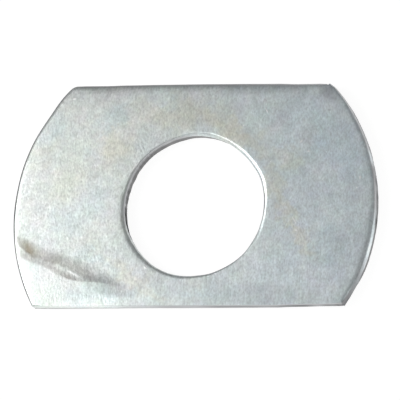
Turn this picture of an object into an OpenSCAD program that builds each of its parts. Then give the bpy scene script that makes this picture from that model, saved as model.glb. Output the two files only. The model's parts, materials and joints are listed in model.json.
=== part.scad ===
// Flat-sided washer: a round blank with a round hole, cut out of sheared strip that is narrower
// than the blank. The strip's own two edges stay as the flats, so the outline is a circle with
// two parallel flats. The hole and the blank both sit a little off the middle of the strip.
// It lies flat, back face down, with the flats along X. The origin is on the hole's axis, in
// the middle of the thickness.

/* [Outline] */
// Diameter of the circle that the two round ends lie on
end_d = 73; // [66:0.5:90]
// From the hole's axis to the upper flat
upper_flat = 24.4; // [19.5:0.05:27]
// From the hole's axis to the lower flat
lower_flat = 20.05; // [19.5:0.05:27]
// How far the round ends' centre lies below the hole's axis
end_drop = 1.25; // [0:0.05:3]
// Radius of the three crisp corners, seen from above
corner_r = 0.4; // [0.3:0.05:1.5]
// Radius of the one worn corner, seen from above
worn_corner_r = 3.2; // [0.6:0.1:4]

/* [Strip] */
// Thickness of the strip
plate_t = 3.2; // [2.8:0.1:8]
// Radius that the shear drew in along the upper flat's front edge and the lower flat's back edge
shear_roll_r = 1.3; // [0.5:0.05:1.35]
// Radius of the other two edges along the flats, which the shear left crisp
crisp_edge_r = 0.2; // [0.1:0.05:0.5]

/* [Punched edges] */
// Diameter of the hole
hole_d = 28; // [12:0.1:34]
// Radius of the lip that the punch drew in round the hole, on the front face
hole_roll_r = 0.6; // [0.2:0.05:1]
// Radius of the edge that the die drew in round the ends, on the front face
end_roll_r = 0.8; // [0.2:0.05:1]
// Height of the torn zone above the back face
tear_h = 1.3; // [0.3:0.05:1.3]
// How far the torn zone opens the hole out at the back face
hole_tear = 0.2; // [0.02:0.01:0.5]
// How far the torn zone draws the ends in at the back face
end_tear = 0.12; // [0.02:0.01:0.5]

/* [Hidden] */
$fn = 96;

hole_r = hole_d / 2;
end_r = end_d / 2;
// How far a cutter runs past the faces that it cuts through
over = 1;
// How far a corner's cutting circle stands proud of both edges, so that it crosses them
corner_bite = 0.01;

// The torn zone's two ends, out from the axis and up from the back face
function wall_foot(r, lean) = [[r + lean, 0], [r, tear_h]];

// Half section of the round blank, from its axis out: a rolled front edge, a smooth wall and
// a torn zone that leans inwards
module blank_section() {
    roll_x = end_r - end_roll_r;
    roll_z = plate_t - end_roll_r;
    polygon(concat(
        [[0, 0]],
        wall_foot(end_r, -end_tear),
        [[end_r, roll_z], [roll_x, roll_z], [roll_x, plate_t], [0, plate_t]]
    ));
    translate([roll_x, roll_z])
        circle(r = end_roll_r);
}

// Half section of what the punch takes out: the lip is drawn in, and the torn zone opens out
module punch_section() {
    roll_x = hole_r + hole_roll_r;
    difference() {
        polygon(concat(
            [[0, -over], [hole_r + hole_tear, -over]],
            wall_foot(hole_r, hole_tear),
            [[hole_r, plate_t - hole_roll_r], [roll_x, plate_t - hole_roll_r]],
            [[roll_x, plate_t + over], [0, plate_t + over]]
        ));
        translate([roll_x, plate_t - hole_roll_r])
            circle(r = hole_roll_r);
    }
}

// Half of the strip's section on one side of its middle, out to x = flat_x: its lower edge is
// round to low_r and its upper edge to high_r
module strip_half(flat_x, low_r, high_r) {
    polygon([
        [0, 0],
        [flat_x - low_r, 0],
        [flat_x, low_r],
        [flat_x, plate_t - high_r],
        [flat_x - high_r, plate_t],
        [0, plate_t]
    ]);
    translate([flat_x - low_r, low_r])
        circle(r = low_r);
    translate([flat_x - high_r, plate_t - high_r])
        circle(r = high_r);
}

// The piece of sheared strip that the washer is cut from, along X
module strip() {
    rotate([90, 0, 90])
        linear_extrude(height = end_d + 2 * over, center = true) {
            strip_half(upper_flat, crisp_edge_r, shear_roll_r);
            mirror([1, 0])
                strip_half(lower_flat, shear_roll_r, crisp_edge_r);
        }
}

module blank() {
    translate([0, -end_drop, 0])
        rotate_extrude()
            blank_section();
}

// Takes off one corner, where the flat at y = flat_y meets the round end on the side of X that
// side gives. The cutting circle touches both edges from inside.
module corner_cut(side, flat_y, r) {
    way = sign(flat_y);
    centre_y = flat_y - way * (r - corner_bite);
    reach = end_r - r + corner_bite;
    centre_x = side * sqrt(reach * reach - pow(centre_y + end_drop, 2));
    // Unit direction from the round end's centre to the cutting circle's centre
    out_x = centre_x / reach;
    out_y = (centre_y + end_drop) / reach;
    translate([centre_x, centre_y, -over])
        linear_extrude(height = plate_t + 2 * over)
            difference() {
                polygon([
                    [0, 0],
                    [0, way * 2 * r],
                    [side * 6 * r, way * 2 * r],
                    [out_x * 2 * r, out_y * 2 * r]
                ]);
                circle(r = r);
            }
}

module washer() {
    color("lightsteelblue")
        translate([0, 0, -plate_t / 2])
            difference() {
                intersection() {
                    strip();
                    blank();
                }
                rotate_extrude()
                    punch_section();
                corner_cut(-1, upper_flat, worn_corner_r);
                corner_cut(1, upper_flat, corner_r);
                corner_cut(-1, -lower_flat, corner_r);
                corner_cut(1, -lower_flat, corner_r);
            }
}

washer();
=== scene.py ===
"""Dresses a flat-sided washer: zinc plated, sheared strip steel with punched edges, on a pale table.

The plate's surface is worked out as one closed grid, around the washer and across its section. Its
finish is a procedural zinc coat. The file is laid out as an add-on and is run as a script.
"""

import json
import math

import bpy
import numpy as np
from bpy.props import FloatProperty, FloatVectorProperty, PointerProperty
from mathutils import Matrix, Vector


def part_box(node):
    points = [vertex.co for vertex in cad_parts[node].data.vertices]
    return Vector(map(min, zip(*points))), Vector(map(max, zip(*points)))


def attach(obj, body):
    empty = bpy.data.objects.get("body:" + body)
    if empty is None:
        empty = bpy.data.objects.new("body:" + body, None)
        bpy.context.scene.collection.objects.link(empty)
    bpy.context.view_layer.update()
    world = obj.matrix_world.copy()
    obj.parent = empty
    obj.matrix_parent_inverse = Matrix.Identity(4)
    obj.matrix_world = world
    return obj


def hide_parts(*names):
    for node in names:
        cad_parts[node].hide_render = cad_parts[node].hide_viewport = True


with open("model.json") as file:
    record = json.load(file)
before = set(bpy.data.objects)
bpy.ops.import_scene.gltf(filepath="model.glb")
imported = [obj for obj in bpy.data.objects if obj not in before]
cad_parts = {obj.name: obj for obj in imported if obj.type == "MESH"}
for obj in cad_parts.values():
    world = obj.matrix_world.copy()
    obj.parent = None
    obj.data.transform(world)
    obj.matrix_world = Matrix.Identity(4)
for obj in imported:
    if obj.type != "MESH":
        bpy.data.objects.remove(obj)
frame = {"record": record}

bl_info = {
    "name": "Flat-sided washer",
    "version": (1, 0, 0),
    "blender": (4, 5, 0),
    "location": "View3D > Sidebar > Washer",
    "description": "A zinc plated, flat-sided washer with punched edges, and a pale stage for it",
    "category": "Add Mesh",
}

MM = 0.001
TURN = 2 * math.pi
NODE = "washer"
# Names of the shares that the mesh holds for its material
SHARES = ("torn", "land", "grime_and_shade")

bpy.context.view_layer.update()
MOUNTS = {mount["name"]: mount for mount in frame["record"]["mounts"]}
PLATE_LOW, PLATE_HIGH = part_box(NODE)


class WasherSizes(bpy.types.PropertyGroup):
    """The plate's sizes. Those that the frame holds are read from it."""

    end_d: FloatProperty(
        name="End diameter",
        description="Diameter of the circle that the two round ends lie on",
        default=PLATE_HIGH.x - PLATE_LOW.x,
        unit="LENGTH",
    )
    end_drop: FloatProperty(
        name="End drop",
        description="How far the round ends' centre lies below the hole's axis",
        default=1.25 * MM,
        unit="LENGTH",
    )
    upper_flat: FloatProperty(
        name="Upper flat",
        description="From the hole's axis to the upper flat",
        default=MOUNTS["upper_flat"]["pos_m"][1],
        unit="LENGTH",
    )
    lower_flat: FloatProperty(
        name="Lower flat",
        description="From the hole's axis to the lower flat",
        default=-MOUNTS["lower_flat"]["pos_m"][1],
        unit="LENGTH",
    )
    corner_r: FloatProperty(
        name="Corner radius",
        description="Radius of the three crisp corners, seen from above",
        default=0.4 * MM,
        unit="LENGTH",
    )
    worn_corner_r: FloatProperty(
        name="Worn corner radius",
        description="Radius of the worn corner, seen from above",
        default=2.3 * MM,
        unit="LENGTH",
    )
    shear_width: FloatProperty(
        name="Shear roll width",
        description="How far in the upper flat's front edge is drawn down, with its soft shoulder",
        default=2.2 * MM,
        unit="LENGTH",
    )
    shear_drop: FloatProperty(
        name="Shear roll height",
        description="How far down the wall the upper flat's roll reaches",
        default=0.8 * MM,
        unit="LENGTH",
    )
    back_width: FloatProperty(
        name="Back roll width",
        description="How far in the lower flat's back edge is drawn up",
        default=1.35 * MM,
        unit="LENGTH",
    )
    back_drop: FloatProperty(
        name="Back roll height",
        description="How far up the wall the lower flat's back roll reaches",
        default=1.3 * MM,
        unit="LENGTH",
    )
    shoulder: FloatProperty(
        name="Shoulder",
        description="How soft the upper flat's roll starts: 1 is an ellipse, and less is softer",
        default=0.6,
    )
    crisp_width: FloatProperty(
        name="Crisp edge",
        description="Width of the lower flat's crisp front edge",
        default=0.14 * MM,
        unit="LENGTH",
    )
    hole_r: FloatProperty(
        name="Hole radius",
        description="Radius of the punched hole at its smooth wall",
        default=MOUNTS["hole"]["dims"]["r_mm"] * MM,
        unit="LENGTH",
    )
    roll_height: FloatProperty(
        name="Roll height",
        description="How far down the wall a drawn-in edge reaches, as a share of its width",
        default=0.9,
    )
    hole_tear_h: FloatProperty(
        name="Hole torn height",
        description="Height of the hole's torn zone above the back face",
        default=1.9 * MM,
        unit="LENGTH",
    )
    end_tear_h: FloatProperty(
        name="End torn height",
        description="Height of the ends' torn zone above the back face",
        default=1.2 * MM,
        unit="LENGTH",
    )
    hole_tear: FloatProperty(
        name="Hole tear",
        description="How far the torn zone opens the hole out at the back face",
        default=0.17 * MM,
        unit="LENGTH",
    )
    end_tear: FloatProperty(
        name="End tear",
        description="How far the torn zone draws the ends in at the back face",
        default=0.12 * MM,
        unit="LENGTH",
    )
    low_corner_tear: FloatProperty(
        name="Low corner tear",
        description="How much further the torn zone draws in at the lower right corner",
        default=0.9 * MM,
        unit="LENGTH",
    )
    low_corner_drop: FloatProperty(
        name="Low corner drop",
        description="How much further down the edge is rolled at the lower right corner",
        default=1.1 * MM,
        unit="LENGTH",
    )
    sag_depth: FloatProperty(
        name="Edge sag",
        description="How far the face sags towards the punched edges, outside the drawn-in edge",
        default=0.035 * MM,
        unit="LENGTH",
    )
    sag_width: FloatProperty(
        name="Edge sag width",
        description="Distance over which the sag fades out",
        default=1.1 * MM,
        unit="LENGTH",
    )
    shear_sag: FloatProperty(
        name="Shear sag",
        description="How far the face sags towards the upper flat's rolled edge",
        default=0.15 * MM,
        unit="LENGTH",
    )
    shear_sag_width: FloatProperty(
        name="Shear sag width",
        description="Distance over which the sag at the upper flat fades out",
        default=2.4 * MM,
        unit="LENGTH",
    )
    wave_depth: FloatProperty(
        name="Face waves",
        description="Depth of the slow waves that the rolling and punching left in the face",
        default=0.02 * MM,
        unit="LENGTH",
    )


class ZincFinish(bpy.types.PropertyGroup):
    """Colours and strengths of the zinc coat."""

    green_zinc: FloatVectorProperty(
        name="Green zinc",
        description="Colour of the plated face on the left",
        default=(0.73, 0.77, 0.745),
        subtype="COLOR",
        min=0,
        max=1,
    )
    blue_zinc: FloatVectorProperty(
        name="Blue zinc",
        description="Colour of the plated face on the right",
        default=(0.72, 0.793, 0.815),
        subtype="COLOR",
        min=0,
        max=1,
    )
    warm: FloatVectorProperty(
        name="Warm tint",
        description="What the warm patches of the chromate take off the zinc's colour",
        default=(0.99, 0.95, 0.875),
        subtype="COLOR",
        min=0,
        max=1,
    )
    cold: FloatVectorProperty(
        name="Cold tint",
        description="What the cold patches of the chromate take off the zinc's colour",
        default=(0.94, 0.98, 1.0),
        subtype="COLOR",
        min=0,
        max=1,
    )
    # Painted shade of a shallow crease: what it takes off the zinc's colour, with its blue and brown
    # kinds below
    crease_shade: FloatVectorProperty(
        name="Burnt",
        description="What the burnt streak takes off the zinc's colour",
        default=(0.49, 0.455, 0.445),
        subtype="COLOR",
        min=0,
        max=1,
    )
    crease_shade_blue: FloatVectorProperty(
        name="Burnt blue",
        description="What the right half of the burnt streak takes off the zinc's colour",
        default=(0.48, 0.455, 0.49),
        subtype="COLOR",
        min=0,
        max=1,
    )
    crease_shade_brown: FloatVectorProperty(
        name="Scorched",
        description="What the brown start of the burnt streak takes off the zinc's colour",
        default=(0.45, 0.40, 0.33),
        subtype="COLOR",
        min=0,
        max=1,
    )
    smudge: FloatVectorProperty(
        name="Smudge",
        description="What a grey smudge takes off the zinc's colour",
        default=(0.72, 0.71, 0.72),
        subtype="COLOR",
        min=0,
        max=1,
    )
    worn_wall: FloatVectorProperty(
        name="Worn wall",
        description="Colour of the smooth walls where they are worn dull",
        default=(0.60, 0.61, 0.62),
        subtype="COLOR",
        min=0,
        max=1,
    )
    torn: FloatVectorProperty(
        name="Torn steel",
        description="Colour of the torn zone of the punched edges",
        default=(0.33, 0.33, 0.33),
        subtype="COLOR",
        min=0,
        max=1,
    )
    # Near black colour of the grime and painted shade along the rolled edges
    grime_and_shade: FloatVectorProperty(
        name="Grime",
        description="Colour of the dull dirt along the rolled edges",
        default=(0.09, 0.09, 0.095),
        subtype="COLOR",
        min=0,
        max=1,
    )
    roughness: FloatProperty(
        name="Roughness",
        description="How satin the plated face is",
        default=0.325,
        min=0.05,
        max=1,
        subtype="FACTOR",
    )


class StageSettings(bpy.types.PropertyGroup):
    """Place and lens of the camera."""

    tilt: FloatVectorProperty(
        name="Camera tilt",
        description="Turns of the camera away from straight down, about X, Y and Z",
        default=[math.radians(a) for a in (15.33, 16.12, 3.86)],
        subtype="EULER",
    )
    aim: FloatVectorProperty(
        name="Aim",
        description="Point of the front face that lies in the middle of the picture",
        default=(1.41 * MM, 0.94 * MM, PLATE_HIGH.z),
        subtype="TRANSLATION",
    )
    distance: FloatProperty(
        name="Distance",
        description="From the camera to the aim",
        default=1.5445,
        unit="LENGTH",
    )
    lens: FloatProperty(
        name="Lens",
        description="Focal length in millimetres, on a 36 mm sensor",
        default=720,
    )


# Surface formulas

# Columns along each stretch of the outline
END_COLUMNS = 220
FLAT_COLUMNS = 150
CORNER_COLUMNS = 12
# Rows down each stretch of the section
ROLL_ROWS = 10
LAND_ROWS = 7
TORN_ROWS = 12
FACE_ROWS = 52
BACK_ROWS = 14
# How strongly a flat's columns crowd towards its corners, below 1
FLAT_CROWDING = 0.8
# How far inside the edge the columns' rays aim
RAY_INSET = 0.8 * MM
# Radius that a corner keeps when the inset has used up the rest
CORNER_REST = 0.03 * MM
# Length over which a flat's section turns into that of a round end
BLEND_LENGTH = 2.2 * MM
# How far round the lower right corner its deeper cut reaches
LOW_CORNER_REACH = 5 * MM
# Least height of smooth wall between the roll and the torn zone
THIN_LAND = 0.05 * MM
# Depths of the smooth wall's dents, of the step down to the torn zone and of that zone's grain
LAND_DENTS = 0.012 * MM
TORN_STEP = 0.03 * MM
TORN_GRAIN = 0.035 * MM
# How much the roll, the torn zone's height, its lean and the wall's grime and painted shade vary, as
# shares
ROLL_UNEVEN = 0.1
TEAR_UNEVEN = 0.08
LEAN_UNEVEN = 0.2
GRIME_AND_SHADE_UNEVEN = 0.5
# Power of the curve in which the torn zone leans away
LEAN_POWER = 1.3
# Where on the roll's quarter turn the wear and the grime with its painted shade start, and over how much
# they grow
WORN_FROM = math.radians(28)
WORN_OVER = math.radians(30)
GRIME_AND_SHADE_FROM = math.radians(22)
GRIME_AND_SHADE_OVER = math.radians(24)
# Share of the smooth wall's height at which the painted shadow at its foot starts
FOOT_FROM = 0.6
# Lengths of the slow waves in the face
WAVE_LENGTHS = (31 * MM, 23 * MM, 14 * MM, 9 * MM)
# Where the random draws start
OUTER_SEED = 20
HOLE_SEED = 40
FACE_SEED = 11

# How the cut edges vary round the washer: degrees anticlockwise from +X, by the ray of each column,
# and a width in mm or a share. The corners lie at 40, 137, 209 and 327 degrees.

# Width of the roll along the ends
END_ROLL = (
    (0, 0.8), (15, 0.68), (26, 0.9), (35, 0.6), (43, 0.35), (134, 0.8), (148, 0.85), (160, 0.85),
    (176, 0.95), (190, 0.8), (206, 0.72), (213, 0.3), (316, 0.45), (327, 0.45), (331, 0.6),
    (336, 0.9), (345, 1.05),
)
# The shear's roll along the upper flat, as a share of its full width
SHEAR_ROLL = (
    (0, 0.7), (46, 0.75), (62, 1.0), (80, 0.88), (110, 0.8), (130, 0.7), (136, 0.6), (160, 0.5),
)
# Width of the roll round the hole
HOLE_ROLL = (
    (0, 0.72), (20, 1.0), (40, 0.82), (60, 0.72), (80, 0.75), (100, 0.5), (120, 0.3), (140, 0.25),
    (160, 0.5), (180, 0.62), (200, 0.85), (220, 0.9), (240, 0.75), (262, 0.7), (300, 0.5),
    (320, 0.55), (340, 0.85),
)
# The torn zone's height along the ends, as a share of its full height
END_TEAR = ((0, 0.9), (7, 0.8), (14, 1.25), (25, 1.0), (328, 1.0), (341, 1.35), (352, 1.3))
# Share of the full sag along the ends, and round the hole
END_SAG = ((0, 0.4), (42, 0.5), (90, 1), (180, 0.8), (325, 0.5), (334, 0.8), (348, 1.2))
HOLE_SAG = (
    (0, -0.4), (30, 0), (80, 0.5), (110, 1.0), (220, 1.1), (240, 1.6), (262, 2.0), (282, 1.8),
    (320, 0.0),
)
# How far the metal stops short of the outline's and the hole's true shapes, in mm
OUTLINE_SHY = (
    (0, 0), (37.4, 0), (38.8, 0.22), (39.8, 0.43), (41.2, 0.48), (42.6, 0.36), (44.2, 0.28),
    (51, 0.27), (58, 0.14), (75, 0.1), (90, 0.06), (104, 0.08), (118, 0.12), (125, 0.21),
    (130, 0.21), (135, 0.19), (139, 0.18), (147, 0.42), (158, 0.23), (166, 0.2), (184, 0.13),
    (200, 0.12), (215, 0), (305, 0.01), (312, 0.13), (320, 0.21), (327, 0.3), (336, 0.03),
)
HOLE_SHY = (
    (0, 0.16), (14, 0.08), (25, 0.02), (36, -0.17), (50, -0.26), (68, -0.14), (80, -0.04),
    (94, -0.02), (106, -0.1), (120, -0.02), (136, 0.08), (152, 0.0), (166, -0.1), (186, -0.08),
    (200, -0.1), (214, -0.2), (226, -0.18), (240, -0.02), (255, 0.06), (275, 0.06), (290, 0.24),
    (318, 0.44), (335, 0.25), (347, 0.19),
)
# How far grime and painted shade darken the steep part of the outer roll, and the wall under it: dark
# dirt, and shade painted along these rolled edges
ROLL_GRIME_AND_SHADE = (
    (0, 0.05), (8, 0.3), (13, 0), (42, 0), (60, 0.2), (80, 0.42), (115, 0.46), (130, 0.53),
    (142, 1.0), (186, 1.0), (197, 0.75), (204, 0.9), (211, 0.1), (214, 0), (323, 0), (329, 0.5),
    (335, 0.35), (345, 0),
)
WALL_GRIME_AND_SHADE = (
    (0, 0.45), (8, 0.45), (13, 0.1), (18, 0.4), (25, 0.7), (35, 0.6), (43, 0.25), (205, 0),
    (235, 0.05), (270, 0.22), (285, 0.38), (322, 0.48), (328, 0.85), (333, 0.45), (339, 0.12),
    (348, 0.08), (354, 0.42),
)
# How far grime and painted shade darken the hole's wall, and the steep part of its roll
HOLE_GRIME_AND_SHADE = (
    (0, 0.42), (25, 0.1), (90, 0.1), (115, 0.3), (140, 0.35), (160, 0.25), (180, 0.6), (200, 0.95),
    (225, 0.1), (270, 0), (340, 0.25),
)
RIM_GRIME_AND_SHADE = ((0, 0.8), (18, 0.35), (40, 0.2), (70, 0.05), (290, 0), (320, 0.15), (345, 0.25))
# How far the walls of the ends and flats, and of the hole, are worn dull. Along the lower flat the outer
# share also paints shade, lighter on its left and darker on its right, and near 340 to 350 degrees it is
# kept low for a painted highlight on the right end's wall
OUTER_WEAR_AND_PAINTED_LIGHT = (
    (0, 1), (9, 1), (13, 0.3), (18, 1), (205, 1), (212, 0.05), (228, 0.1), (246, 0.6), (262, 1),
    (328, 1), (340, 0.1), (350, 0.15),
)
HOLE_WEAR = ((0, 1), (25, 0.3), (60, 0), (85, 0), (105, 1), (185, 1), (210, 0.4), (255, 0.4), (275, 1))
# Painted shadow at the foot of the lower flat's wall, where it curls under onto the table: how far it
# takes the torn zone's dark colour
FOOT_SHADOW = ((0, 0), (206, 0), (211, 1.0), (232, 0.8), (250, 0.15), (275, 0))


def corner_circle(sizes, corner, inset):
    """The circle that rounds a corner of an outline drawn in by inset, where the flat meets the
    round end. It touches both from inside, and its radius shrinks with the inset, down to a small
    rest. Returns its centre, its radius and the directions in which it touches flat and end."""
    side, flat_y, radius = corner
    way = math.copysign(1, flat_y)
    radius = np.maximum(radius - inset, CORNER_REST)
    centre_y = flat_y - way * (inset + radius)
    reach = sizes.end_d / 2 - inset - radius
    centre_x = side * np.sqrt(reach**2 - (centre_y + sizes.end_drop) ** 2)
    end_touch = np.arctan2(centre_y + sizes.end_drop, centre_x) % TURN
    return centre_x, centre_y, radius, way * TURN / 4 % TURN, end_touch


def round_end(sizes, inset, first, last):
    """The arc (0, -drop) + r (cos a, sin a) from one corner to the next, anticlockwise."""
    share = np.arange(inset.shape[1]) / inset.shape[1]
    start = corner_circle(sizes, first, inset)[4]
    turn = (corner_circle(sizes, last, inset)[4] - start) % TURN
    angle = start + share * turn
    radius = sizes.end_d / 2 - inset
    return np.stack([radius * np.cos(angle), radius * np.sin(angle) - sizes.end_drop], axis=-1)


def flat(sizes, inset, first, last):
    """The straight line between the places where two corners' circles touch the flat. Its columns
    crowd towards the corners: share s - c sin(2 pi s) / (2 pi), where c is FLAT_CROWDING."""
    even = np.arange(inset.shape[1]) / inset.shape[1]
    share = even - FLAT_CROWDING * np.sin(TURN * even) / TURN
    start, end = (corner_circle(sizes, corner, inset)[0] for corner in (first, last))
    edge_y = first[1] - math.copysign(1, first[1]) * inset
    return np.stack([start + share * (end - start), edge_y], axis=-1)


def rounded_corner(sizes, inset, corner, onto_flat):
    """The short arc between the places where a corner's circle touches the end and the flat."""
    share = np.arange(inset.shape[1]) / inset.shape[1]
    centre_x, centre_y, radius, flat_touch, end_touch = corner_circle(sizes, corner, inset)
    start, end = (end_touch, flat_touch) if onto_flat else (flat_touch, end_touch)
    angle = start + share * ((end - start) % TURN)
    return np.stack([centre_x + radius * np.cos(angle), centre_y + radius * np.sin(angle)], axis=-1)


def outline(sizes, inset):
    """The washer's outline, anticlockwise from the lower right corner: a round end, a corner, a
    flat and a corner, twice. Inset, rows x columns, is how far each point is drawn in from the
    edge. Returns points as rows x columns x 2."""
    low_right = (1, -sizes.lower_flat, sizes.corner_r)
    top_right = (1, sizes.upper_flat, sizes.corner_r)
    top_left = (-1, sizes.upper_flat, sizes.worn_corner_r)
    low_left = (-1, -sizes.lower_flat, sizes.corner_r)
    lengths = 2 * (END_COLUMNS, CORNER_COLUMNS, FLAT_COLUMNS, CORNER_COLUMNS)
    parts = np.split(inset, np.cumsum(lengths)[:-1], axis=1)
    drawn = [
        round_end(sizes, parts[0], low_right, top_right),
        rounded_corner(sizes, parts[1], top_right, True),
        flat(sizes, parts[2], top_right, top_left),
        rounded_corner(sizes, parts[3], top_left, False),
        round_end(sizes, parts[4], top_left, low_left),
        rounded_corner(sizes, parts[5], low_left, True),
        flat(sizes, parts[6], low_left, low_right),
        rounded_corner(sizes, parts[7], low_right, False),
    ]
    return np.concatenate(drawn, axis=1)


def flat_shares(edge, way):
    """How much of a flat's section each column has, for the upper flat with way 1 and the lower one
    with way -1. The first share eases from 0 to 1 along the flat, and the second one does so along
    the round ends, before the corners. Edge is the closed outline, one point a column."""
    columns = np.arange(len(edge))
    first = END_COLUMNS + CORNER_COLUMNS + (0 if way > 0 else len(edge) // 2)
    on_flat = (columns >= first) & (columns < first + FLAT_COLUMNS)
    low_x, high_x = edge[on_flat, 0].min(), edge[on_flat, 0].max()
    inside = np.minimum(edge[:, 0] - low_x, high_x - edge[:, 0])
    beside = np.abs(edge[on_flat, 1][0] - edge[:, 1])
    return on_flat * ease(inside / BLEND_LENGTH), ease(1 - beside / BLEND_LENGTH)


def ease(share):
    """A smooth step from 0 to 1: 3 s^2 - 2 s^3."""
    share = np.clip(share, 0, 1)
    return share * share * (3 - 2 * share)


def wander(turns, lowest, highest, seed):
    """Even wandering round a closed edge: a sum of cosines with every whole number of waves from
    lowest to highest, each with a seeded phase and weight, scaled to about -1 to 1."""
    rng = np.random.default_rng(seed)
    waves = np.arange(lowest, highest + 1)
    phase = rng.uniform(0, TURN, len(waves))
    weight = rng.uniform(0.3, 1, len(waves))
    total = np.cos(np.outer(turns * TURN, waves) + phase) @ weight
    return total / (1.5 * math.sqrt(weight @ weight))


def crumble(rows, columns, seed):
    """Rough grain on a closed strip: seeded noise, each value shared with its neighbours round the
    strip and across it."""
    grain = np.random.default_rng(seed).normal(size=(rows, columns))
    shared = (np.roll(grain, 1, 1) + 2 * grain + np.roll(grain, -1, 1)) / 4
    padded = np.pad(shared, ((1, 1), (0, 0)), mode="edge")
    return (padded[:-2] + 2 * padded[1:-1] + padded[2:]) / 4


def around(turns, points):
    """A value for every direction from the hole's axis, eased from each given pair of degrees and
    value to the next one. The first pair lies at 0 degrees."""
    degrees, values = np.array(points + ((360, points[0][1]),)).T
    place = np.interp(turns * 360 % 360, degrees, np.arange(len(degrees)))
    before = np.minimum(place.astype(int), len(degrees) - 2)
    return values[before] + ease(place - before) * (values[before + 1] - values[before])


def uneven(turns, share, towards):
    """One wave round the washer, 1 + share cos(a - towards): the punch sat a little to one side."""
    return 1 + share * np.cos((turns - towards) * TURN)


def edge_section(edge, half_t, seed):
    """Section of a cut edge, from the front face down to the back. It starts with the roll that the
    cut drew in: inset w (1 - sin^p t) and drop d (1 - cos t), a quarter ellipse for p = 1 and with a
    softer shoulder for less. Then come a straight smooth wall and a torn zone that leans away as a
    power curve, or curls in as a quarter ellipse where back_width isn't 0.
    Edge holds one number for each column under each name. Returns the inset from the wall's line
    and the height, rows x columns, and three shares of each point: how torn it is, how much smooth
    wall, and how far grime and painted shade darken it. Where the foot curls, it and the lower end
    of the wall take the torn colour as far as foot_shadow says, as painted shadow."""
    columns = len(edge["width"])
    turns = np.arange(columns) / columns

    roll_turn = np.outer(np.linspace(0, TURN / 4, ROLL_ROWS), np.ones(columns))
    width = edge["width"] * (1 + ROLL_UNEVEN * wander(turns, 4, 16, seed))
    drop = edge["drop"] * (1 + ROLL_UNEVEN * wander(turns, 4, 20, seed + 1))
    roll_inset = width * (1 - np.sin(roll_turn) ** edge["shoulder"])
    roll_z = half_t - drop * (1 - np.cos(roll_turn))

    tear_top = -half_t + edge["tear_h"] * (1 + TEAR_UNEVEN * wander(turns, 5, 60, seed + 2))
    tear_top = np.minimum(tear_top, roll_z[-1] - THIN_LAND)
    down_land = np.linspace(0, 1, LAND_ROWS + 1)[1:, None]
    land_z = roll_z[-1] + down_land * (tear_top - roll_z[-1])
    dents = np.maximum(1 + wander(turns, 20, 180, seed + 3), 0)
    land_inset = LAND_DENTS * dents * ease(down_land * 3)

    down_torn = np.linspace(0, 1, TORN_ROWS + 1)[1:, None]
    curl = edge["back_width"] > 0
    depth = np.where(curl, np.sin(down_torn * TURN / 4), down_torn)
    torn_z = tear_top + depth * (-half_t - tear_top)
    lean = edge["lean"] * (1 + LEAN_UNEVEN * wander(turns, 5, 40, seed + 4)) * down_torn**LEAN_POWER
    curled = edge["back_width"] * (1 - np.cos(down_torn * TURN / 4))
    grain = TORN_GRAIN * np.abs(crumble(TORN_ROWS, columns, seed + 5)) * ease(down_torn * 4)
    rough = TORN_STEP * ease(down_torn * 12) + grain
    torn_inset = land_inset[-1] + np.where(curl, curled, rough) + lean

    inset = np.concatenate([roll_inset, land_inset, torn_inset]) + edge["shy"]
    height = np.concatenate([roll_z, land_z, torn_z])

    # Painted shadow at the foot of a curled wall: there the torn colour stands in for the shade under it
    land_foot_shadow = edge["foot_shadow"] * ease((down_land - FOOT_FROM) / (1 - FOOT_FROM))
    foot_torn_and_shadow = np.where(curl, edge["foot_shadow"], np.ones_like(torn_z))
    torn = np.concatenate([np.zeros_like(roll_z), land_foot_shadow, foot_torn_and_shadow])
    worn = ease((roll_turn - WORN_FROM) / WORN_OVER)
    land = np.concatenate([worn, np.ones_like(land_z), np.where(curl, 1 - down_torn, 0)])

    # Grime and painted shade on the roll's steep part and the wall under it
    steep = edge["roll_grime_and_shade"] * ease((roll_turn - GRIME_AND_SHADE_FROM) / GRIME_AND_SHADE_OVER)
    patchy = np.clip(edge["wall_grime_and_shade"] * (1 + GRIME_AND_SHADE_UNEVEN * wander(turns, 6, 70, seed + 6)), 0, 1)
    under_roll = edge["roll_grime_and_shade"] + ease(down_land * 3) * (patchy - edge["roll_grime_and_shade"])
    grime_and_shade = np.concatenate([steep, under_roll, np.broadcast_to(patchy, torn_z.shape)])
    return inset, height, torn, land, grime_and_shade


def face_drop(sizes, x, y):
    """How far the front face lies below its plane: sags that die out with distance from the cut
    edges, as exp(-d / width), half as deep at the hole, and slow waves, a sum of a few cosines that
    run across the face in seeded directions. The sum is scaled to stay between 0 and 1."""
    turns = np.arctan2(y, x) / TURN
    from_end = sizes.end_d / 2 - around(turns, END_ROLL) * MM - np.hypot(x, y + sizes.end_drop)
    from_hole = np.hypot(x, y) - sizes.hole_r - around(turns, HOLE_ROLL) * MM
    from_shear = sizes.upper_flat - y
    sag = sizes.sag_depth * around(turns, END_SAG) * np.exp(-np.maximum(from_end, 0) / sizes.sag_width)
    hole_sag = 0.5 * sizes.sag_depth * around(turns, HOLE_SAG)
    sag = sag + hole_sag * np.exp(-np.maximum(from_hole, 0) / sizes.sag_width)
    sag = sag + sizes.shear_sag * np.exp(-np.maximum(from_shear, 0) / sizes.shear_sag_width)
    rng = np.random.default_rng(FACE_SEED)
    waves = np.zeros_like(x)
    for length in WAVE_LENGTHS:
        way = rng.uniform(0, TURN)
        phase = rng.uniform(0, TURN)
        along = x * math.cos(way) + y * math.sin(way)
        waves += length / WAVE_LENGTHS[0] * np.cos(TURN / length * along + phase)
    return sag + sizes.wave_depth * (0.5 + waves / 6)


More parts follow.
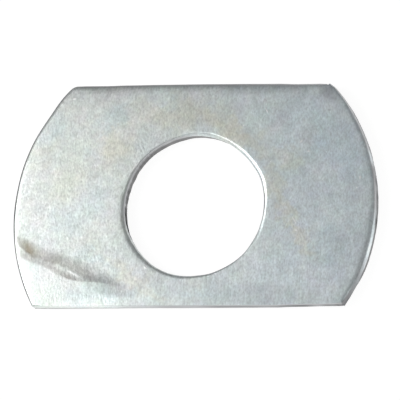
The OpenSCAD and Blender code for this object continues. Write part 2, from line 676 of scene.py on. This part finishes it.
def spread_rays(points):
    """Unit directions from the hole's axis towards a closed row of points, with the steps between
    them evened out by a moving average, so that no columns crowd together at the hole."""
    polar = np.unwrap(np.arctan2(points[:, 1], points[:, 0]))
    steps = np.diff(polar, append=polar[0] + TURN)
    reach = 2 * CORNER_COLUMNS
    wrapped = np.concatenate([steps[-reach:], steps, steps[:reach]])
    even = np.convolve(wrapped, np.ones(2 * reach + 1) / (2 * reach + 1), mode="valid")
    angle = polar[0] + np.cumsum(even) - even
    return np.stack([np.cos(angle), np.sin(angle)], axis=1)


def blank_edge(sizes, edge, angle):
    """Numbers for the outer edge's section: the punched one round the ends, the sheared one of the
    strip along the flats, and both blended near the corners. Edge is the outline, one point a
    column, and angle the direction of each column's ray, in turns."""
    upper = flat_shares(edge, 1)[0]
    lower, lower_back = flat_shares(edge, -1)
    ends = 1 - upper - lower
    corner = np.hypot(edge[:, 0] - edge[0, 0], edge[:, 1] - edge[0, 1])
    near_corner = np.exp(-((corner / LOW_CORNER_REACH) ** 2))

    end_roll = around(angle, END_ROLL) * MM
    shear_share = upper * around(angle, SHEAR_ROLL)
    extra_drop = near_corner * (1 - lower_back) * sizes.low_corner_drop
    return {
        "width": ends * end_roll + shear_share * sizes.shear_width + lower * sizes.crisp_width,
        "drop": ends * (end_roll * sizes.roll_height + extra_drop)
        + shear_share * sizes.shear_drop
        + lower * sizes.crisp_width,
        "shoulder": 1 + upper * (sizes.shoulder - 1),
        "shy": around(angle, OUTLINE_SHY) * MM,
        "tear_h": (1 - lower_back) * sizes.end_tear_h * around(angle, END_TEAR)
        + lower_back * sizes.back_drop,
        "lean": (1 - lower_back) * (sizes.end_tear + near_corner * sizes.low_corner_tear),
        "back_width": lower_back * sizes.back_width,
        # Painted shadow at the lower flat's foot
        "foot_shadow": around(angle, FOOT_SHADOW),
        "roll_grime_and_shade": around(angle, ROLL_GRIME_AND_SHADE),
        "wall_grime_and_shade": around(angle, WALL_GRIME_AND_SHADE),
    }


def hole_edge(sizes, angle):
    """Numbers for the hole's section, which is punched all the way round."""
    roll = around(angle, HOLE_ROLL) * MM
    return {
        "width": roll,
        "drop": roll * sizes.roll_height,
        "shoulder": np.ones_like(angle),
        "shy": around(angle, HOLE_SHY) * MM,
        "tear_h": sizes.hole_tear_h * uneven(angle, share=0.2, towards=0.30),
        "lean": sizes.hole_tear * uneven(angle, share=0.3, towards=0.40),
        "back_width": np.zeros_like(angle),
        "foot_shadow": np.zeros_like(angle),
        "roll_grime_and_shade": around(angle, RIM_GRIME_AND_SHADE),
        "wall_grime_and_shade": around(angle, HOLE_GRIME_AND_SHADE),
    }


def rows_between(start, end, rows):
    """Evenly spaced rows of points between two rows, without these two."""
    share = np.linspace(0, 1, rows + 2)[1:-1, None, None]
    return start + share * (end - start)


def washer_grid(sizes):
    """The washer's whole skin as a closed grid: columns go round it, and rows go from the hole's
    back edge up the hole's wall, across the front face, down the outer wall and back across the
    back face. Returns points as rows x columns x 3, and the torn, land and grime_and_shade shares
    of each; the last one holds grime and painted shade."""
    half_t = (PLATE_HIGH.z - PLATE_LOW.z) / 2
    columns = 2 * (END_COLUMNS + FLAT_COLUMNS + 2 * CORNER_COLUMNS)
    edge = outline(sizes, np.zeros((1, columns)))[0]
    ray = spread_rays(outline(sizes, np.full((1, columns), RAY_INSET))[0])
    angle = np.arctan2(ray[:, 1], ray[:, 0]) / TURN

    outer = edge_section(blank_edge(sizes, edge, angle), half_t, OUTER_SEED)
    outer_inset, outer_z, *outer_shares = outer
    # Wear on the outer walls, which along the lower flat also paints shade and on the right end a
    # highlight
    outer_shares[1] = outer_shares[1] * around(angle, OUTER_WEAR_AND_PAINTED_LIGHT)
    outer_xy = outline(sizes, outer_inset)

    hole = edge_section(hole_edge(sizes, angle), half_t, HOLE_SEED)
    hole_inset, hole_z, *hole_shares = (part[::-1] for part in hole)
    hole_shares[1] = hole_shares[1] * around(angle, HOLE_WEAR)
    hole_xy = sizes.hole_r * ray + hole_inset[..., None] * ray

    front_xy = rows_between(hole_xy[-1], outer_xy[0], FACE_ROWS)
    back_xy = rows_between(outer_xy[-1], hole_xy[0], BACK_ROWS)
    xy = np.concatenate([hole_xy, front_xy, outer_xy, back_xy])
    flat_front = np.full((FACE_ROWS, columns), half_t)
    flat_back = np.full((BACK_ROWS, columns), -half_t)
    z = np.concatenate([hole_z, flat_front, outer_z, flat_back])
    z = np.minimum(z - face_drop(sizes, xy[..., 0], xy[..., 1]) * ease(z / half_t), half_t)

    front, back = np.zeros((FACE_ROWS, columns)), np.zeros((BACK_ROWS, columns))
    shares = [
        np.concatenate([hole_part, front, outer_part, back])
        for hole_part, outer_part in zip(hole_shares, outer_shares)
    ]
    return np.dstack([xy, z]), shares


def closed_grid_faces(rows, columns):
    """Four-sided faces of a grid that closes on itself both ways."""
    row, column = np.meshgrid(np.arange(rows), np.arange(columns), indexing="ij")
    next_row, next_column = (row + 1) % rows, (column + 1) % columns
    corners = [
        row * columns + column,
        next_row * columns + column,
        next_row * columns + next_column,
        row * columns + next_column,
    ]
    return np.stack(corners, axis=-1).reshape(-1, 4)


def make_mesh(name, points, faces):
    """A mesh object of that name, smooth shaded, from arrays of points and faces."""
    mesh = bpy.data.meshes.new(name)
    mesh.from_pydata(points.reshape(-1, 3).tolist(), [], faces.tolist())
    mesh.shade_smooth()
    piece = bpy.data.objects.new(name, mesh)
    bpy.context.scene.collection.objects.link(piece)
    return piece


def add_shares(piece, name, values):
    """Stores one number per point as an attribute that materials can read."""
    attribute = piece.data.attributes.new(name, "FLOAT", "POINT")
    attribute.data.foreach_set("value", values.astype(np.float32).ravel())


# Material nodes

# Tints, in millimetres on the front face: centre, half length and width, turn in degrees, share
WARM_PATCHES = (
    ((-3.0, 18.3), (14, 4.5), 0, 1.0),
    ((5.5, 15.8), (7, 2.8), -25, 0.7),
    ((-16.0, 11.5), (7.5, 4.5), 50, 0.8),
    ((-25.5, 5.5), (8, 4.5), 70, 0.45),
    ((10.5, 12.8), (8, 3.0), -32, 0.85),
    ((19.0, 8.8), (6, 2.6), -25, 0.7),
    ((15.8, 3.5), (7, 2.2), -75, 0.9),
    ((19.0, -2.5), (6, 2.0), -60, 1.0),
    ((22.6, -7.3), (5, 2.0), -55, 1.0),
    ((-12.5, -13.8), (8, 2.2), -40, 0.7),
    ((-6.5, -17.8), (6, 2.2), -45, 0.5),
    ((-31.0, 10.0), (5, 3.0), 70, 0.3),
)
COLD_PATCHES = (
    ((28.5, 11.0), (11, 6.0), -60, 1.0),
    ((19.0, 18.5), (10, 4.0), 0, 0.4),
    ((-17.0, 17.3), (6, 2.5), 35, 1.0),
    ((-29.5, 15.5), (6, 3.0), 60, 0.7),
    ((-24.0, -3.0), (8, 4.0), 20, 0.9),
    ((-20.0, 1.5), (5, 3.0), 40, 0.6),
    ((4.0, -17.5), (10, 3.0), 0, 0.6),
    ((29.0, -8.0), (9, 6.0), 60, 0.6),
    ((-20.0, -9.8), (6, 1.4), -30, 0.9),
    ((-18.5, -17.5), (9, 3.0), 0, 0.9),
)
# Small bright flecks that stand up a little, with painted glints: their colour goes towards white. Laid
# out the same way
GLINT_FLECKS = (
    ((13.7, 18.7), (0.9, 0.2), -60, 0.7),
    ((21.0, 12.5), (0.5, 0.25), 50, 0.7),
    ((22.6, 10.5), (0.4, 0.25), 0, 0.7),
    ((20.6, -3.2), (1.3, 0.16), -60, 0.7),
    ((21.2, -5.2), (0.5, 0.25), -50, 0.7),
    ((33.2, 5.2), (0.5, 0.3), 90, 0.7),
    ((-8.7, -12.4), (0.5, 0.25), -30, 0.8),
    ((-23.0, -13.6), (2.0, 0.35), -27, 0.4),
    ((-25.4, 21.6), (0.6, 0.3), 20, 0.7),
)
# Curves over x reach this far to both sides of 0, in millimetres
CURVE_SPAN = 40
# Painted shade of a shallow crease in the face, darkest on its steep side: the band's middle, half width
# and depth of colour over x
CREASE_SHADE_BAND = (
    (-36.5, -3.4), (-34.8, -7.0), (-33.8, -7.8), (-32.5, -8.8), (-31.3, -9.4), (-28.8, -10.4),
    (-26.3, -11.05), (-25.0, -11.5), (-23.8, -12.1), (-21.2, -13.3), (-18.7, -14.4), (-16.2, -15.0),
    (-13.7, -16.0), (-10.5, -18.0),
)
CREASE_SHADE_WIDTH = (
    (-36.0, 0.5), (-34.8, 1.4), (-32.5, 1.9), (-29.0, 1.75), (-24.5, 2.0), (-20.5, 2.3),
    (-17.5, 1.7), (-13.0, 1.4),
)
CREASE_SHADE_DEPTH = (
    (-36.2, 0.0), (-35.0, 0.65), (-33.8, 0.8), (-32.5, 1.0), (-31.0, 0.62), (-28.8, 0.72),
    (-27.0, 0.85), (-25.2, 0.65), (-23.5, 0.75), (-20.0, 0.8), (-17.5, 0.62), (-15.0, 0.42),
    (-13.0, 0.25), (-10.5, 0.0),
)
# The thin dark line under the band, at the crease's foot, also painted shade: its path and depth of
# colour over x
LINE_PATH = (
    (-36.0, -9.0), (-33.1, -10.3), (-30.5, -11.3), (-28.0, -12.3), (-25.5, -13.7), (-24.2, -14.3),
    (-21.8, -14.9), (-18.5, -15.1), (-15.2, -15.6),
)
LINE_DEPTH = (
    (-34.8, 0.0), (-33.4, 0.6), (-32.0, 0.66), (-30.5, 0.62), (-28.0, 0.68), (-26.0, 0.65),
    (-24.0, 0.9), (-22.0, 0.6), (-18.5, 0.5), (-16.0, 0.3), (-12.5, 0.0),
)
# Where the band fades in, in half widths from its middle: from above, and from below
BAND_TOP = (1.4, 0.1)
BAND_FOOT = (-0.68, -0.25)
# The brown start of the painted crease shade: centre, half length and width, turn in degrees
CREASE_SHADE_BROWN_PATCH = ((-32.0, -8.4), (3.6, 2.2), -30)
# Painted glare in the plate below the streak on the left: how far the grain is evened out there, and how
# much lighter it is
GLARE_EVENED = 0.5
GLARE_GAIN = 0.04
# How far the tints' rims wander, in millimetres from side to side
RIM_WANDER = 9.0
# Mottling of the chromate: cells per millimetre, and strength
MOTTLES = ((0.7, 0.055), (0.22, 0.085))
# How much the grain is drawn out, as the pattern's scale along X, Y and Z
GRAIN_STRETCH = (1.0, 0.6, 1.0)
STREAK_STRETCH = (2.2, 0.35, 1.0)
# Grey smudges on the face, laid out like the tints
SMUDGES = (
    ((-17.0, -16.5), (6.0, 1.6), -22, 0.6),
    ((-14.4, -16.4), (3.6, 1.8), -35, 0.55),
    ((25.9, 22.4), (3.6, 2.0), -42, 1.0),
    ((23.8, 21.0), (0.4, 0.35), 0, 0.6),
    ((26.2, 18.7), (0.5, 0.35), 0, 0.8),
    ((13.0, 23.2), (11.0, 2.0), 0, 0.25),
    ((2.0, -15.5), (9.0, 2.2), 8, 0.22),
    ((14.0, -18.3), (16.0, 3.6), 0, 0.42),
)
# Painted highlights, where the colour is made lighter: a glare strip below the streak, a lighter place
# up on the right, and glints on the right end's wall. Laid out like the tints
PAINTED_HIGHLIGHTS = (
    ((-18.0, -19.3), (10.0, 1.9), 0, 0.18),
    ((-22.0, -20.1), (13.0, 0.6), 0, 0.16),
    ((23.0, 18.0), (6.0, 5.0), 0, 0.1),
    ((35.9, -8.8), (3.7, 0.8), 78, 0.34),
    ((36.2, 7.0), (3.0, 0.8), 103, 0.2),
)


class Nodes:
    """Adds and links nodes of one material or world, each in its own column."""

    def __init__(self, owner):
        owner.use_nodes = True
        self.tree = owner.node_tree
        self.tree.nodes.clear()

    def add(self, kind, inputs=None, **settings):
        """A node of that kind. Inputs are numbers, colours or another node's output."""
        node = self.tree.nodes.new(kind)
        node.location.x = 200 * len(self.tree.nodes)
        for name, value in settings.items():
            setattr(node, name, value)
        for name, value in (inputs or {}).items():
            self.fill(node.inputs[name], value)
        return node

    def fill(self, socket, value):
        """Links another node's output to a socket, or sets it to a number or a colour."""
        if isinstance(value, bpy.types.NodeSocket):
            self.tree.links.new(value, socket)
        else:
            socket.default_value = value

    def noise(self, place, scale, detail, roughness, output="Fac"):
        """A noise pattern's value or colour, about 0.5 in the middle. Scale is in cells per mm."""
        inputs = {"Vector": place, "Scale": scale, "Detail": detail, "Roughness": roughness}
        return self.add("ShaderNodeTexNoise", inputs).outputs[output]

    def fade(self, value, low, high, to_low=0.0, to_high=1.0):
        """Takes value from low..high smoothly to to_low..to_high, and holds it outside."""
        inputs = {"Value": value, "From Min": low, "From Max": high, "To Min": to_low, "To Max": to_high}
        return self.add("ShaderNodeMapRange", inputs, interpolation_type="SMOOTHSTEP").outputs["Result"]

    def math(self, operation, first, second, third=0.0):
        """One arithmetic step on two or three values."""
        inputs = {0: first, 1: second, 2: third}
        return self.add("ShaderNodeMath", inputs, operation=operation).outputs["Value"]

    def vector(self, operation, first, second):
        """One arithmetic step on two vectors or colours."""
        inputs = {0: first, 1: second}
        return self.add("ShaderNodeVectorMath", inputs, operation=operation).outputs["Vector"]

    def scaled(self, colour, factor):
        """A colour times a value."""
        inputs = {0: colour, "Scale": factor}
        return self.add("ShaderNodeVectorMath", inputs, operation="SCALE").outputs["Vector"]

    def mix(self, share, first, second, blend="MIX"):
        """A colour between first and second. The node has a socket of each name for each kind."""
        node = self.add("ShaderNodeMix", data_type="RGBA", blend_type=blend)
        kinds = {"Factor": "VALUE", "A": "RGBA", "B": "RGBA"}
        inputs = {"Factor": share, "A": first, "B": second}
        for socket in node.inputs:
            if kinds.get(socket.name) == socket.type:
                self.fill(socket, inputs[socket.name])
        return next(socket for socket in node.outputs if socket.type == "RGBA")

    def patch(self, spot, centre, reach, turn):
        """A soft spot of light: 1 in the middle of an ellipse and 0 at its rim. Reach is its half
        length and half width in mm, and turn the angle of its length in degrees."""
        moved = self.vector("SUBTRACT", spot, (*centre, 0))
        inputs = {"Vector": moved, "Rotation": (0, 0, -math.radians(turn))}
        turned = self.add("ShaderNodeMapping", inputs, vector_type="POINT").outputs["Vector"]
        away = self.vector("MULTIPLY", turned, (1 / reach[0], 1 / reach[1], 0))
        length = self.add("ShaderNodeVectorMath", {0: away}, operation="LENGTH").outputs["Value"]
        return self.fade(length, 1.0, 0.25)

    def curve(self, value, points):
        """A smooth curve through points (value, result), each within CURVE_SPAN of 0."""
        share = self.math("MULTIPLY_ADD", value, 0.5 / CURVE_SPAN, 0.5)
        node = self.add("ShaderNodeFloatCurve", {"Value": share})
        line = node.mapping.curves[0]
        for index, point in enumerate(points):
            place = [0.5 + 0.5 * number / CURVE_SPAN for number in point]
            if index < 2:
                line.points[index].location = place
            else:
                line.points.new(*place)
        node.mapping.update()
        return self.math("MULTIPLY_ADD", node.outputs["Value"], 2 * CURVE_SPAN, -CURVE_SPAN)


def rgba(colour):
    """A colour with full opacity."""
    return (*colour, 1.0)


def place_in_mm(nodes):
    """The point on the washer in millimetres, as a vector and as its two parts along the plate."""
    place = nodes.add("ShaderNodeTexCoord").outputs["Object"]
    spot = nodes.scaled(place, 1 / MM)
    parts = nodes.add("ShaderNodeSeparateXYZ", {"Vector": spot}).outputs
    return spot, parts["X"], parts["Y"]


def tinted(nodes, colour, spot, patches, tint):
    """A colour times a tint, inside soft patches."""
    for centre, reach, turn, share in patches:
        share = nodes.math("MULTIPLY", nodes.patch(spot, centre, reach, turn), share)
        colour = nodes.mix(share, colour, rgba(tint), "MULTIPLY")
    return colour


def chromate(nodes, spot, finish):
    """Colour of the clear chromate over the zinc: greenish on the left and bluish on the right, with
    soft warm and cold patches whose rims wander, and faint many-coloured mottling."""
    warp = nodes.vector("SUBTRACT", nodes.noise(spot, 0.25, 3.0, 0.6, "Color"), (0.5, 0.5, 0.5))
    loose = nodes.vector("ADD", spot, nodes.scaled(warp, RIM_WANDER))
    across = nodes.fade(nodes.add("ShaderNodeSeparateXYZ", {"Vector": loose}).outputs["X"], -30, 26)
    colour = nodes.mix(across, rgba(finish.green_zinc), rgba(finish.blue_zinc))
    colour = tinted(nodes, colour, loose, WARM_PATCHES, finish.warm)
    colour = tinted(nodes, colour, loose, COLD_PATCHES, finish.cold)
    for scale, strength in MOTTLES:
        mottle = nodes.noise(spot, scale, 1.0, 0.5, "Color")
        factor = nodes.vector("SUBTRACT", nodes.scaled(mottle, strength), (strength / 2 - 1,) * 3)
        colour = nodes.vector("MULTIPLY", colour, factor)
    return colour


def varied(nodes, tone, noise, strength):
    """A tone times 1 in the middle of a noise, and up to half the strength more or less."""
    about = nodes.math("SUBTRACT", noise, 0.5)
    return nodes.math("MULTIPLY", tone, nodes.math("MULTIPLY_ADD", about, strength, 1.0))


def grain_tone(nodes, spot, x, y):
    """How light the rolled grain is, about 1: fine and medium noise drawn out across the strip, the
    medium one weaker on the right, coarse noise, upright streaks that grow towards the lower flat,
    and a few bright points."""
    drawn = nodes.vector("MULTIPLY", spot, GRAIN_STRETCH)
    tone = varied(nodes, 1.0, nodes.noise(drawn, 3.0, 1.0, 0.5), 0.42)
    tone = varied(nodes, tone, nodes.noise(drawn, 1.5, 2.0, 0.6), nodes.fade(x, -24, 12, 0.46, 0.32))
    tone = varied(nodes, tone, nodes.noise(spot, 0.45, 2.0, 0.6), 0.32)
    upright = nodes.noise(nodes.vector("MULTIPLY", spot, STREAK_STRETCH), 1.0, 2.0, 0.6)
    tone = varied(nodes, tone, upright, nodes.fade(y, 12, -19, 0.12, 0.45))
    cells = nodes.add("ShaderNodeTexVoronoi", {"Vector": spot, "Scale": 0.3}).outputs
    chosen = nodes.add("ShaderNodeSeparateColor", {"Color": cells["Color"]}).outputs["Red"]
    point = nodes.fade(cells["Distance"], 0.055, 0.02)
    point = nodes.math("MULTIPLY", point, nodes.fade(chosen, 0.45, 0.55))
    return nodes.math("MULTIPLY_ADD", point, 0.35, tone)


def crease_shade_streak(nodes, spot, x, y):
    """How much painted crease shade each point has: a band with a soft upper edge and a firm lower one
    that follows one curve, and a thin line under it that follows another and fades out upwards.
    Noise breaks both up. The third value is 1 in the painted glare below them on the left, and 0
    elsewhere."""
    ragged = nodes.math("MULTIPLY_ADD", nodes.noise(spot, 0.7, 2.0, 0.5), 1.0, -0.5)
    band = nodes.math("SUBTRACT", nodes.math("ADD", y, ragged), nodes.curve(x, CREASE_SHADE_BAND))
    share = nodes.math("DIVIDE", band, nodes.curve(x, CREASE_SHADE_WIDTH))
    body = nodes.math("MULTIPLY", nodes.fade(share, *BAND_TOP), nodes.fade(share, *BAND_FOOT))
    body = nodes.math("MULTIPLY", body, nodes.curve(x, CREASE_SHADE_DEPTH))

    line = nodes.math("SUBTRACT", y, nodes.curve(x, LINE_PATH))
    line = nodes.math("MULTIPLY_ADD", ragged, 0.25, line)
    reach = nodes.fade(x, -33, -24, 2.4, 1.5)
    foot = nodes.fade(x, -26, -22, -0.9, -0.4)
    thin = nodes.math("MULTIPLY", nodes.fade(line, reach, 0.0), nodes.fade(line, foot, -0.05))
    thin = nodes.math("MULTIPLY", thin, nodes.curve(x, LINE_DEPTH))
    below = nodes.math("MULTIPLY", nodes.fade(line, 0.1, -0.4), nodes.fade(x, -20, -27))
    return body, thin, below


def plated_colour(nodes, spot, x, y, finish):
    """Colour of the plated face: chromate over grain, then the painted shade of a shallow crease, the
    grey smudges, the painted highlights and the bright flecks with painted glints. The second value
    is how far a fleck stands up."""
    body, thin, below = crease_shade_streak(nodes, spot, x, y)
    tone = grain_tone(nodes, spot, x, y)
    # Painted glare below the streak: the grain is evened out there
    evened = nodes.math("MULTIPLY", nodes.math("SUBTRACT", 1.0, tone), below)
    tone = nodes.math("MULTIPLY_ADD", evened, GLARE_EVENED, tone)
    colour = nodes.scaled(chromate(nodes, spot, finish), tone)

    # Painted shade of a shallow crease: bluer on its right, brown at its start
    crease_shade = nodes.mix(nodes.fade(x, -24, -15), rgba(finish.crease_shade), rgba(finish.crease_shade_blue))
    crease_shade = nodes.mix(nodes.patch(spot, *CREASE_SHADE_BROWN_PATCH), crease_shade, rgba(finish.crease_shade_brown))
    colour = nodes.mix(body, colour, crease_shade, "MULTIPLY")
    colour = nodes.mix(thin, colour, crease_shade, "MULTIPLY")
    colour = tinted(nodes, colour, spot, SMUDGES, finish.smudge)
    # Painted highlights
    for centre, reach, turn, share in PAINTED_HIGHLIGHTS:
        gain = nodes.math("MULTIPLY_ADD", nodes.patch(spot, centre, reach, turn), share, 1.0)
        colour = nodes.scaled(colour, gain)
    # Painted glare below the streak: the colour is made lighter
    colour = nodes.scaled(colour, nodes.math("MULTIPLY_ADD", below, GLARE_GAIN, 1.0))

    raised = 0.0
    # Painted glints: raised flecks whose colour goes towards white
    for centre, reach, turn, share in GLINT_FLECKS:
        share = nodes.math("MULTIPLY", nodes.patch(spot, centre, reach, turn), share)
        colour = nodes.mix(share, colour, (1, 1, 1, 1))
        raised = nodes.math("ADD", share, raised)
    return colour, raised


def relief(nodes, spot, raised):
    """The bumped normal of the face's fine relief: rolled grain, small pits and raised flecks."""
    pits = nodes.add("ShaderNodeTexVoronoi", {"Vector": spot, "Scale": 0.55}).outputs["Distance"]
    grain = nodes.noise(nodes.vector("MULTIPLY", spot, GRAIN_STRETCH), 2.6, 3.0, 0.6)
    height = nodes.math("MULTIPLY_ADD", nodes.fade(pits, 0.0, 0.08), 0.5, grain)
    height = nodes.math("MULTIPLY_ADD", raised, 0.8, height)
    inputs = {"Height": height, "Distance": 0.04 * MM, "Strength": 0.5}
    return nodes.add("ShaderNodeBump", inputs).outputs["Normal"]


def zinc_coat(finish):
    """Zinc plate over rolled steel: a satin metal whose walls are worn dull and whose torn zones are
    dark and rough. The grime_and_shade share, dirt and painted shade along the rolled edges, covers
    the metal with a near black colour, so it takes the metallic look away."""
    material = bpy.data.materials.new("zinc_coat")
    nodes = Nodes(material)
    spot, x, y = place_in_mm(nodes)
    torn, land, grime_and_shade = (
        nodes.add("ShaderNodeAttribute", attribute_name=name).outputs["Fac"] for name in SHARES
    )

    colour, raised = plated_colour(nodes, spot, x, y, finish)
    # Worn dull walls; along the lower flat and the right end the land share also holds painted shade and
    # painted highlight
    colour = nodes.mix(land, colour, rgba(finish.worn_wall))
    colour = nodes.mix(torn, colour, rgba(finish.torn))
    # Grime and painted shade: a near black, non-metallic colour along the rolled edges
    colour = nodes.mix(grime_and_shade, colour, rgba(finish.grime_and_shade))

    cloud = nodes.noise(spot, 0.12, 3.0, 0.6)
    satin = nodes.fade(cloud, 0.3, 0.7, finish.roughness - 0.03, finish.roughness + 0.03)
    edge_rough = nodes.math("ADD", nodes.math("MULTIPLY", torn, 0.3), nodes.math("MULTIPLY", land, 0.2))
    clean = nodes.math("SUBTRACT", 1.0, grime_and_shade)
    inputs = {
        "Base Color": colour,
        "Metallic": clean,
        "Specular IOR Level": nodes.math("MULTIPLY", clean, 0.5),
        "Roughness": nodes.math("ADD", edge_rough, satin),
        "Normal": relief(nodes, spot, raised),
    }
    shader = nodes.add("ShaderNodeBsdfPrincipled", inputs)
    nodes.add("ShaderNodeOutputMaterial", {"Surface": shader.outputs["BSDF"]})
    return material


# Stage

# How far the table lies under the plate, and how far it reaches from the middle
TABLE_GAP = 0.01 * MM
TABLE_REACH = 3.0
# The table's own colour, and the darker colour and the glow that make the camera see it white
TABLE_PAPER = (0.8, 0.8, 0.8, 1)
SEEN_PAPER = (0.16, 0.16, 0.16, 1)
SEEN_GLOW = 0.93
# Direction of the room's bright side, and the strength of its dark side, bright side and ceiling
BRIGHT_WAY = (-0.5, -0.87, 0)
DARK_SIDE = 0.34
BRIGHT_SIDE = 0.95
CEILING = 0.36
# Share of the walls' light that is left behind the washer
BEHIND_SHARE = 0.72
# The window lamp, in metres
WINDOW_PLACE = (-0.282, 0.02, 0.25)
WINDOW_SIZE = (0.185, 0.352)
WINDOW_GLOW = 3.04


def table_top():
    """A white table. The camera, gloss and glass see it as the white background, and it keeps a share
    of the real shadow."""
    material = bpy.data.materials.new("white_table")
    nodes = Nodes(material)
    ray = nodes.add("ShaderNodeLightPath").outputs
    seen = nodes.math("MAXIMUM", ray["Is Camera Ray"], ray["Is Glossy Ray"])
    seen = nodes.math("MAXIMUM", seen, ray["Is Transmission Ray"])
    paper = nodes.mix(seen, TABLE_PAPER, SEEN_PAPER)
    card = nodes.add("ShaderNodeBsdfDiffuse", {"Color": paper})
    glow = nodes.add("ShaderNodeEmission", {"Strength": nodes.math("MULTIPLY", seen, SEEN_GLOW)})
    mixed = nodes.add("ShaderNodeAddShader", {0: card.outputs["BSDF"], 1: glow.outputs["Emission"]})
    nodes.add("ShaderNodeOutputMaterial", {"Surface": mixed.outputs["Shader"]})
    return material


def studio_world():
    """Soft light of a grey room: brightest low down in front on the left, where its windows are, and
    darkest low down behind."""
    world = bpy.data.worlds.new("studio")
    nodes = Nodes(world)
    way = nodes.add("ShaderNodeTexCoord").outputs["Generated"]
    height = nodes.add("ShaderNodeSeparateXYZ", {"Vector": way}).outputs["Z"]
    towards = nodes.add("ShaderNodeVectorMath", {0: way, 1: BRIGHT_WAY}, operation="DOT_PRODUCT")
    side = nodes.fade(towards.outputs["Value"], -0.1, 0.75, DARK_SIDE, BRIGHT_SIDE)
    behind = nodes.add("ShaderNodeSeparateXYZ", {"Vector": way}).outputs["Y"]
    side = nodes.math("MULTIPLY", side, nodes.fade(behind, 0.35, 0.95, 1.0, BEHIND_SHARE))
    up = nodes.fade(height, 0.3, 1.0)
    walls = nodes.math("MULTIPLY", side, nodes.math("SUBTRACT", 1.0, up))
    shade = nodes.math("ADD", walls, nodes.math("MULTIPLY", up, CEILING))
    room = nodes.add("ShaderNodeBackground", {"Color": (1, 1, 1, 1), "Strength": shade})
    nodes.add("ShaderNodeOutputWorld", {"Surface": room.outputs["Background"]})
    return world


def add_lamp(name, place, size, glow):
    """A rectangular soft box at a place, facing the washer. A glow of 1 shows as white."""
    light = bpy.data.lights.new(name, "AREA")
    light.shape = "RECTANGLE"
    light.size, light.size_y = size
    light.energy = glow * math.pi * size[0] * size[1]
    lamp = bpy.data.objects.new(name, light)
    lamp.rotation_euler = Vector(place).to_track_quat("Z", "Y").to_euler()
    lamp.location = place
    bpy.context.scene.collection.objects.link(lamp)


class WASHER_OT_plate(bpy.types.Operator):
    """Makes the zinc plated washer"""

    bl_idname = "washer.plate"
    bl_label = "Washer plate"

    def execute(self, context):
        sizes, finish = context.scene.washer_sizes, context.scene.zinc_finish
        points, shares = washer_grid(sizes)
        piece = make_mesh("plated_washer", points, closed_grid_faces(*points.shape[:2]))
        for name, values in zip(SHARES, shares):
            add_shares(piece, name, values)
        piece.data.materials.append(zinc_coat(finish))
        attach(piece, "root")
        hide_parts(NODE)
        return {"FINISHED"}


class WASHER_OT_stage(bpy.types.Operator):
    """Makes the table, the room, the window lamp and the camera"""

    bl_idname = "washer.stage"
    bl_label = "Stage"

    def execute(self, context):
        scene, stage = context.scene, context.scene.stage_settings
        low = PLATE_LOW.z - TABLE_GAP
        ways = ((-1, -1), (1, -1), (1, 1), (-1, 1))
        corners = np.array([(x * TABLE_REACH, y * TABLE_REACH, low) for x, y in ways])
        table = make_mesh("table", corners, np.array([[0, 1, 2, 3]]))
        table.data.materials.append(table_top())
        scene.world = studio_world()
        add_lamp("window", WINDOW_PLACE, WINDOW_SIZE, WINDOW_GLOW)

        eye = bpy.data.cameras.new("camera")
        eye.lens = stage.lens
        eye.sensor_width = 36
        eye.clip_end = 10
        camera = bpy.data.objects.new("camera", eye)
        camera.rotation_euler = stage.tilt
        turned = camera.rotation_euler.to_matrix()
        camera.location = Vector(stage.aim) + stage.distance * turned.col[2]
        scene.collection.objects.link(camera)
        scene.camera = camera
        scene.view_settings.view_transform = "Standard"
        return {"FINISHED"}


class WASHER_PT_sidebar(bpy.types.Panel):
    """Lists the washer's sizes and finish, and what makes its pieces"""

    bl_label = "Washer"
    bl_space_type = "VIEW_3D"
    bl_region_type = "UI"
    bl_category = "Washer"

    def draw(self, context):
        layout, scene = self.layout, context.scene
        for settings in (scene.washer_sizes, scene.zinc_finish, scene.stage_settings):
            for name in settings.__annotations__:
                layout.prop(settings, name)
        layout.operator(WASHER_OT_plate.bl_idname)
        layout.operator(WASHER_OT_stage.bl_idname)


CLASSES = (
    WasherSizes,
    ZincFinish,
    StageSettings,
    WASHER_OT_plate,
    WASHER_OT_stage,
    WASHER_PT_sidebar,
)


def register():
    """Adds the classes, and gives each scene its settings."""
    for each in CLASSES:
        bpy.utils.register_class(each)
    bpy.types.Scene.washer_sizes = PointerProperty(type=WasherSizes)
    bpy.types.Scene.zinc_finish = PointerProperty(type=ZincFinish)
    bpy.types.Scene.stage_settings = PointerProperty(type=StageSettings)


def unregister():
    """Takes away what register added."""
    del bpy.types.Scene.stage_settings
    del bpy.types.Scene.zinc_finish
    del bpy.types.Scene.washer_sizes
    for each in reversed(CLASSES):
        bpy.utils.unregister_class(each)


def main():
    """Makes everything in order."""
    register()
    bpy.ops.washer.plate()
    bpy.ops.washer.stage()


if __name__ == "__main__":
    main()
